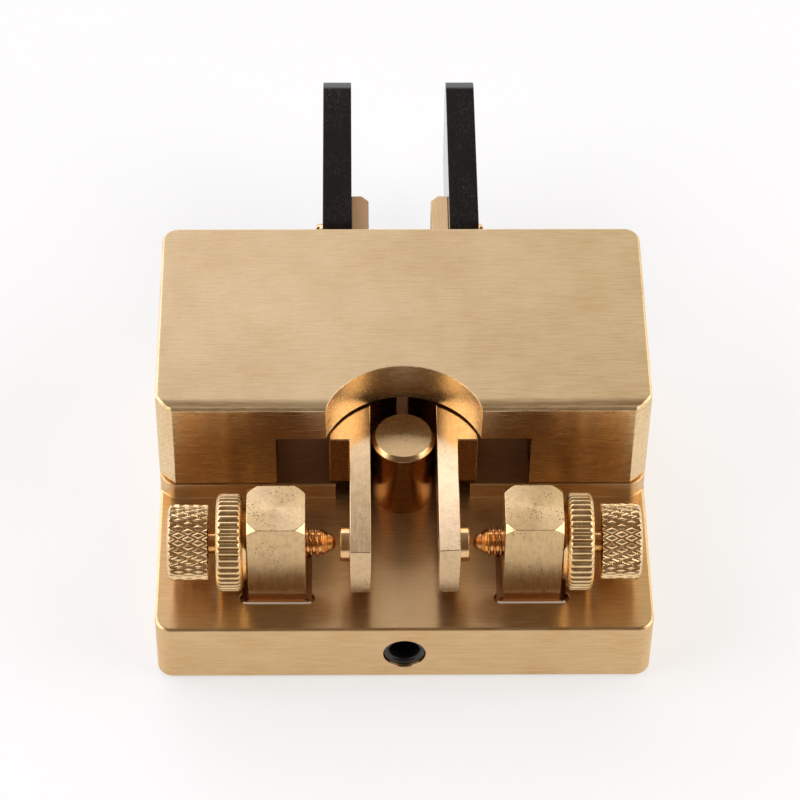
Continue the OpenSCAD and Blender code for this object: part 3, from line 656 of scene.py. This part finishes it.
# half of the groove's floor and one flank as shares of the pitch, and how the flank curves
groove_floor = 0.18
groove_flank = 0.24
flank_curve = 1.6
thread_run_out = 0.3
thread_from_r = 0.9
cone_start = 9.27
cone_end = 10.35
cone_r = 1.16
end_flat_r = 0.83
neck_r = 1.35
head_start = 23.5
head_end = 28.45
head_r = 4.6
knurl_start = head_start + 0.14
knurl_end = head_end - 0.40
knurl_depth = 0.27
knurl_round = 29
knurl_long = 2.1
knurl_sharp = 2.4
knurl_from_r = head_r - 0.5
nut_seat = 18.95
nut_face = 22.6
nut_r = 5.95
nut_grooves = 42
nut_groove_depth = 0.27
nut_groove_sharp = 2.2
nut_knurl_from_r = 5.2
nut_section = [
    (nut_seat, 1.93, 0), (nut_seat, 4.35, 0.12), (19.38, 4.72, 0.05), (19.42, 4.9, 0.05),
    (19.42, 5.35, 0.15), (19.85, nut_r, 0.35), (22.2, nut_r, 0.35), (nut_face, 5.4, 0.15),
    (nut_face, 2.5, 0.1), (22.35, 1.93, 0.05),
]
point_section = [(8.3, 0.0, 0), (8.32, 0.45, 0.3), (8.65, 0.95, 0.3), (9.25, 1.15, 0.04), (9.25, 0.75, 0.02),
                 (13.25, 0.75, 0.05), (13.25, 0.0, 0)]
# painted shade: the shank of each screw is multiplied by this brown
shank_shade_brown = (0.84, 0.64, 0.46, 1)


def thread_cut(x, r, angle):
    """Cuts the thread into the shank: a helical groove with a round bottom between thin flat crests."""
    phase = (x / thread_pitch - angle / (2 * math.pi)) % 1.0
    crest = np.clip((np.abs(phase - 0.5) - groove_floor) / groove_flank, 0, 1) ** flank_curve
    run = np.clip((nut_face - x) / thread_run_out, 0, 1)
    root = np.minimum(r, thread_r - thread_depth)
    shank = (r > thread_from_r) & (x < nut_face)
    return np.where(shank, r - (r - root) * (1 - crest) * run, r)


def knurl_cut(x, r, angle):
    """Rolls the diamond knurl: two crossing sets of slanting V grooves leave pointed diamonds."""
    along = (x - head_start) / (head_end - head_start) * knurl_long
    around = angle / (2 * math.pi) * knurl_round
    one = np.abs((around + along) % 1.0 - 0.5) * 2
    two = np.abs((around - along) % 1.0 - 0.5) * 2
    rolled = head_r - knurl_depth * np.maximum(one, two) ** knurl_sharp
    return np.where(r > knurl_from_r, np.minimum(r, rolled), r)


def nut_cut(x, r, angle):
    """Presses the straight knurl into the rim: rounded ridges between narrow grooves that run out at both
    ends."""
    phase = (angle / (2 * math.pi) * nut_grooves) % 1.0
    cut_r = nut_r - nut_groove_depth * (np.abs(phase - 0.5) * 2) ** nut_groove_sharp
    return np.where(r > nut_knurl_from_r, np.minimum(r, cut_r), r)


def turned_brass(name, roughness, light, deep, shaded_until=None):
    """Brass turned in a lathe about the piece's own X axis: faint rings that follow the axis, and stains.
    Along the axis up to the place given last, it is painted darker and browner, as shade on the shank."""
    metal, add = new_material(name)
    marks = grain_noise(add, (2200, 1, 1), 2.0)
    clouds = grain_noise(add, 700, 3.0)
    colour = mixed(add, spread(add, clouds, 0.35, 0.62, 0.1, 1.0), deep, light)
    if shaded_until:
        along = add("ShaderNodeSeparateXYZ", add("ShaderNodeTexCoord").outputs["Object"]).outputs["X"]
        # painted shade on the shank, up to the head
        in_shade = maths(add, "LESS_THAN", along, shaded_until * mm)
        colour = mixed(add, in_shade, colour, shank_shade_brown, blend_type="MULTIPLY")
    coat(add, Metallic=1.0, Base_Color=colour,
         Roughness=spread(add, clouds, 0.3, 0.7, roughness * 0.85, roughness * 1.15),
         Normal=add("ShaderNodeBump", Height=marks, Strength=0.12, Distance=0.01 * mm))
    return metal


def ring_stations(start, end, count):
    """Evenly spaced stations along the axis, both ends included."""
    return [start + (end - start) * i / count for i in range(count + 1)]


screw_line = [Vector((cone_start, 0.0)), Vector((cone_start, end_flat_r))]
screw_line += [Vector((x, cone_r + (thread_r - cone_r) * (x - cone_start) / (cone_end - cone_start)))
               for x in ring_stations(cone_start, cone_end, 22)]
screw_line += [Vector((x, thread_r)) for x in ring_stations(cone_end, nut_face, 245)[1:]]
screw_line += eased([(nut_face, thread_r, 0), (nut_face, neck_r, 0.05), (head_start + 0.1, neck_r, 0),
                     (head_start + 0.1, 0, 0)])[1:]
thread = turned(screw_line, 112, cut=thread_cut)
head_line = [Vector((head_start, 0.0)), Vector((head_start, head_r - 0.45)),
             Vector((head_start + 0.08, head_r - 0.15))]
head_line += [Vector((x, head_r)) for x in ring_stations(knurl_start, knurl_end, 60)]
head_line += eased([(knurl_end, head_r, 0), (head_end - 0.10, head_r - 0.36, 0.25), (head_end, 3.6, 0.3),
                    (head_end - 0.02, 0.0, 0)], 5)[1:]
head = turned(head_line, knurl_round * 12, cut=knurl_cut)
nut = turned(eased(nut_section, 5), nut_grooves * 10, closed=True, cut=nut_cut)
point = turned(eased(point_section, 8), 64)

screw_brass = turned_brass("screw brass", 0.22, (0.92, 0.67, 0.37, 1), (0.82, 0.55, 0.27, 1), head_start)
knurled_brass = turned_brass("knurled brass", 0.28, (0.82, 0.60, 0.32, 1), (0.70, 0.47, 0.23, 1))
point_bronze = turned_brass("point bronze", 0.34, (0.72, 0.41, 0.18, 1), (0.60, 0.32, 0.13, 1))
for side, sign in sides.items():
    line_turn = Matrix.Identity(4) if sign > 0 else Matrix.Rotation(math.pi, 4, "Z")
    line_place = (0, contact_y * mm, contact_z * mm)
    make_piece("adjusting_screw_" + side, [thread, head], screw_brass, side + "_screw",
               ["contact_screw_" + side], 42, line_place, line_turn)
    make_piece("pressed_point_" + side, [point], point_bronze, side + "_point",
               ["contact_point_" + side], 38, line_place, line_turn)
    make_piece("knurled_nut_" + side, [nut], knurled_brass, side + "_nut",
               ["lock_nut_" + side], 38, line_place, line_turn)

# Stop post
# A round brass post between the levers, which rest against it. Turned, faced and bevelled, it keeps the
# pores of its cast bar, and a screw from below holds it.

# in mm
stop_y = -3.5
stop_foot = 9.6
stop_section = [(stop_foot, 0, 0), (stop_foot, 3.95, 0.05), (19.35, 3.95, 0.04), (19.85, 3.45, 0.04),
                (19.85, 0, 0)]
# painted shade on the post's sides, below its top chamfer
stop_shadow = ((-0.1, -4.2, -4.2), (9.72, 4.2, 4.2))

stop_brass = brushed_brass("stop post brass", (0, 0, 1), 0.27, 0.0, 0.05, (0.66, 0.45, 0.23, 1),
                           (0.52, 0.33, 0.15, 1), upright=0.85, mottle=1.0, shade_boxes=[stop_shadow])
make_piece("round_stop", [turned([Vector((x - stop_foot, r)) for x, r in eased(stop_section)], 128)],
           stop_brass, "frame_body", ["stop_post"], 32, (0, stop_y * mm, stop_foot * mm), standing)
with_broken_edges("round_stop_screw", "stop_post_screw", 0.05 * mm, steel, "frame_body")

# Levers
# Two cast brass bars, filed and lightly tumbled, so their faces are matt with shallow pits. Each turns on
# a bushed pin under the cover, carries a contact stud at one end and a paddle at the other, and is pulled
# back to the stop by a pair of facing magnets in its inner boss.

lever_top = 20.25 * mm
# slope, bow per metre and roll of each top, and how far ahead in mm the top is cut for them
filed = {"left": (0.002, 0.8, 0.03), "right": (-0.026, 1.2, 0.075)}
filing_cuts = [0, 2, 4, 6.5, 9, 12]
filed_until = -5.6 * mm
filed_middle = 5.3 * mm
roll_run = 4 * mm
tongue_start = 25.6 * mm
# painted shade: the left tongue's colour is darker than the right's, though both are the same brass
tongue_shade_by_side = {"left": (0.50, 0.31, 0.168), "right": (0.76, 0.53, 0.275)}
# painted shade on the levers where they run under the cover
lever_shadow = ((-15.65, -5.0, 12.0), (15.65, 25.4, 20.0))


def cut_across(bm, place, normal=(0, 1, 0)):
    """Cuts new edges into the whole mesh along a plane."""
    bmesh.ops.bisect_plane(bm, geom=bm.verts[:] + bm.edges[:] + bm.faces[:], plane_co=place, plane_no=normal)


def file_top(bm, slope, bow, roll):
    """Hand filing leaves the lever's top a little out of level, bowed along its length and rolled towards the
    middle, all of it setting in gently."""
    for end in [filed_until - ahead * mm for ahead in filing_cuts] + [tongue_start]:
        cut_across(bm, (0, end, 0))
    for v in bm.verts:
        ahead = filed_until - v.co.y
        if v.co.z > lever_top - 0.05 * mm and ahead > 0:
            share = min(1, ahead / roll_run)
            v.co.z += roll * share * (abs(v.co.x) - filed_middle) - slope * ahead - bow * ahead ** 2


lever_brass = brushed_brass("lever brass", (0, 1, 0), 0.19, 0.1, 0.10, (0.74, 0.54, 0.32, 1),
                            (0.66, 0.45, 0.25, 1), upright=1.5, mottle=0.7, shade_boxes=[lever_shadow])
stud_brass = turned_brass("stud brass", 0.2, (0.85, 0.58, 0.32, 1), (0.75, 0.46, 0.22, 1))
magnet_nickel = plated_steel("magnet nickel", (0.66, 0.64, 0.60), 0.2)
for side in sides:
    body = side + "_lever"
    bar = with_broken_edges("lever_bar_" + side, "lever_" + side, 0.10 * mm, lever_brass, body,
                            lambda bm, way=filed[side]: file_top(bm, *way))
    tone = tongue_shade_by_side[side]
    bar.data.materials.append(brushed_brass("tongue brass " + side, (0, 1, 0), 0.5, 0.3, 0.2, toned(tone),
                                            toned(tone, 0.8)))
    for face in bar.data.polygons:
        if face.center.y > tongue_start:
            face.material_index = 1
    with_broken_edges("lever_bush_" + side, "pivot_bush_" + side, 0.06 * mm, dull, body)
    with_broken_edges("lever_pin_" + side, "pivot_pin_" + side, 0.1 * mm, steel, "frame_body")
    with_broken_edges("lever_stud_" + side, "contact_stud_" + side, 0.03 * mm, stud_brass, body)
    with_broken_edges("lever_magnet_" + side, "return_magnet_" + side, 0.1 * mm, magnet_nickel, body)

# Paddles
# Plates sawn from black sheet. The big faces keep the sheet's gloss, while the sawn edges are matt and
# hold pale dust. Two brass screws with slotted heads fix each plate to its lever's tongue.

sheet_black = (0.014, 0.014, 0.015, 1)
edge_black = (0.0065, 0.0046, 0.0038, 1)
edge_dust = (0.06, 0.048, 0.040, 1)
# painted sheen: grey for the far faces of the paddles
sheen_grey = (0.13, 0.13, 0.13, 1)


def sawn_sheet(name):
    """Black sheet: glossy faces towards +X and -X, dusty sawn edges on every other side, and a painted grey
    sheen on the faces turned towards +Y.
    """
    sheet, add = new_material(name)
    facing = add("ShaderNodeSeparateXYZ", add("ShaderNodeNewGeometry").outputs["Normal"]).outputs
    face = spread(add, maths(add, "ABSOLUTE", facing["X"]), 0.55, 0.95)
    dust = grain_noise(add, (5200, 2600, 2600), 6.0)
    patches = grain_noise(add, (260, 140, 260), 3.0, (1.1, 0.4, 0.7))
    dusty = maths(add, "MULTIPLY", spread(add, dust, 0.50, 0.72), spread(add, patches, 0.42, 0.68, 0.1, 1.0))
    edge = mixed(add, dusty, edge_black, edge_dust)
    # painted sheen: faces turned towards +Y, at the far end, are painted grey, as light reflected there
    far_sheen = mixed(add, spread(add, facing["Y"], 0.10, 0.22), edge, sheen_grey)
    coat(add, Base_Color=mixed(add, face, far_sheen, sheet_black),
         Roughness=spread(add, face, 0.0, 1.0, 0.62, 0.10),
         Specular_IOR_Level=spread(add, face, 0.0, 1.0, 0.07, 0.9),
         Normal=add("ShaderNodeBump", Height=dust, Strength=0.5, Distance=0.03 * mm))
    return sheet


black_sheet = sawn_sheet("sawn black sheet")
for side in sides:
    body = side + "_lever"
    with_broken_edges("paddle_plate_" + side, "paddle_" + side, 0.12 * mm, black_sheet, body)
    with_broken_edges("paddle_fixing_" + side, "paddle_screws_" + side, 0.05 * mm, stud_brass, body)

# Cover block
# A second solid brass block that carries the weight of the key. A channel runs through it from front to
# back for the levers, and a round cut-out clears the stop post. Four screws hold it from below.

cover_top = 26.35 * mm
cover_foot = 12.05 * mm
joint = 0.26 * mm
undercut = 0.7 * mm
# the undercut is whole along the near face and runs out towards the corners
undercut_gain = 1.8
undercut_start = 0.8
rub_depth = 1.5 * mm
rub_drop = 0.42 * mm
rub_cuts = (0.22, 0.4, 0.6, 0.8, 1.0)


def rub_near_edge(bm):
    """Rubs the near top edge round, flattens the two near upright corners a little and undercuts the foot, so
    that the joint with the base shows as a dark line."""
    for share in rub_cuts:
        cut_across(bm, (0, block_face + share * rub_depth, 0))
    cut_across(bm, (0, 0, cover_foot + joint), (0, 0, 1))
    for v in bm.verts:
        back = v.co.y - block_face
        if v.co.z > cover_top - 0.3 * mm and back < rub_depth:
            v.co.z -= rub_drop * (1 - max(back, 0) / rub_depth) ** 2
        outward = flatten_corner(v)
        if outward and v.co.z < cover_foot + near:
            v.co.y += undercut * min(1, max(0, -undercut_gain * outward[1] - undercut_start))


# the cover's brass is painted darker as shade inside the channel under its roof
cover_brass = brushed_brass("brushed brass", (1, 0, 0), 0.40, 0.8, 0.6, (0.865, 0.65, 0.38, 1),
                            (0.68, 0.46, 0.23, 1), upright=0.65, shade_boxes=[under_cover])
with_broken_edges("cover", "cover_block", 0.06 * mm, cover_brass, "frame_body", rub_near_edge)
with_broken_edges("cover_fixing_screws", "cover_screws", 0.05 * mm, steel, "frame_body")

# Cable socket
# A moulded black socket for a 3.5 mm plug sits in the wiring pocket, with its nose in the near edge of
# the base. Two spring contacts and a sleeve contact of bronze strip stand out behind for the wires.

black_plastic = moulded("socket plastic", (0.012, 0.012, 0.013), 0.28, 0.1, 0.1)
with_broken_edges("plug_socket", "socket_body", 0.05 * mm, black_plastic, "frame_body")
with_broken_edges("plug_springs", "socket_springs", 0.04 * mm, bronze, "frame_body")
with_broken_edges("plug_sleeve", "socket_sleeve", 0.04 * mm, bronze, "frame_body")
with_broken_edges("earth_lug", "ground_lug", 0.05 * mm, bronze, "frame_body")
with_broken_edges("earth_screw", "ground_screw", 0.05 * mm, steel, "frame_body")

# Wires
# Three short wires run in the wiring pocket, red and white to the contact posts and green to the base.
# Each is tinned strand in a soft sleeve, bent round, stripped at both ends and soldered.

# sizes and routes in mm
wire_r = 0.45
wire_end_r = 0.39
strand_r = 0.27
bend_r = 0.9
bend_steps = 10
bar_sides = 28
stripped = 0.9
# distance from the end and radius of the solder on the strand
solder = [(0, 0.2), (0.1, 0.34), (0.3, 0.42), (0.5, 0.36), (0.65, strand_r)]
wires = {
    "wire_left": ("red", (0.45, 0.03, 0.025),
                  [(-3.0, -10.5, 3.75), (-7.5, -10.5, 3.75), (-7.5, -17.0, 3.75), (-11.4, -17.0, 3.75)]),
    "wire_right": ("white", (0.75, 0.74, 0.71),
                   [(3.0, -10.5, 3.75), (7.5, -10.5, 3.75), (7.5, -17.0, 3.75), (11.4, -17.0, 3.75)]),
    "wire_ground": ("green", (0.03, 0.22, 0.07),
                    [(0.0, -10.35, 2.55), (5.2, -10.35, 2.55), (5.2, -13.85, 2.55), (5.2, -13.85, 7.05),
                     (5.2, -18.4, 7.05)]),
}


def bent_line(points):
    """Points along a wire that is bent round at every inner corner of its route."""
    points = [Vector(p) for p in points]
    line = [points[0]]
    for before, here, after in zip(points, points[1:], points[2:]):
        back = (before - here).normalized()
        ahead = (after - here).normalized()
        centre = here + bend_r * (back + ahead)
        for k in range(bend_steps + 1):
            a = math.pi / 2 * k / bend_steps
            line.append(centre - bend_r * (math.cos(a) * ahead + math.sin(a) * back))
    return line + [points[-1]]


def round_bar(line, radii):
    """Verts and faces of a round bar along a line in mm, closed at both ends."""
    verts = []
    normal = Vector((0, 0, 1))
    for i, p in enumerate(line):
        ahead = (line[min(i + 1, len(line) - 1)] - line[max(i - 1, 0)]).normalized()
        if abs(ahead.dot(normal)) > 0.9:
            normal = Vector((0, 1, 0))
        across = (normal - normal.dot(ahead) * ahead).normalized()
        other = ahead.cross(across)
        normal = across
        for j in range(bar_sides):
            a = 2 * math.pi * j / bar_sides
            verts.append(tuple((p + radii[i] * (math.cos(a) * across + math.sin(a) * other)) * mm))
    ends = [tuple(range(bar_sides)), tuple(range(len(verts) - bar_sides, len(verts)))]
    return verts, ring_faces(len(line), bar_sides) + ends


def with_ends(line, shape, middle_r):
    """Line and radii of a bar whose ends have the given (distance, radius) instead of the middle radius."""
    first = (line[1] - line[0]).normalized()
    last = (line[-2] - line[-1]).normalized()
    start = [line[0] + first * d for d, _ in shape]
    end = [line[-1] + last * d for d, _ in reversed(shape)]
    end_r = [r for _, r in shape]
    return start + line[1:-1] + end, end_r + [middle_r] * (len(line) - 2) + end_r[::-1]


tinned = plated_steel("tinned strand", (0.70, 0.69, 0.66), 0.3)
for node, (hue, tone, route) in wires.items():
    line = bent_line(route)
    sleeve = [(stripped, wire_end_r), (stripped + 0.05, wire_r)]
    for name, shape, middle_r, stuff in (("strand_of_", solder, strand_r, tinned),
                                         ("sleeve_of_", sleeve, wire_r, moulded(hue + " wire", tone, 0.4))):
        make_piece(name + node, [round_bar(*with_ends(line, shape, middle_r))], stuff, "frame_body",
                   [node], 40)
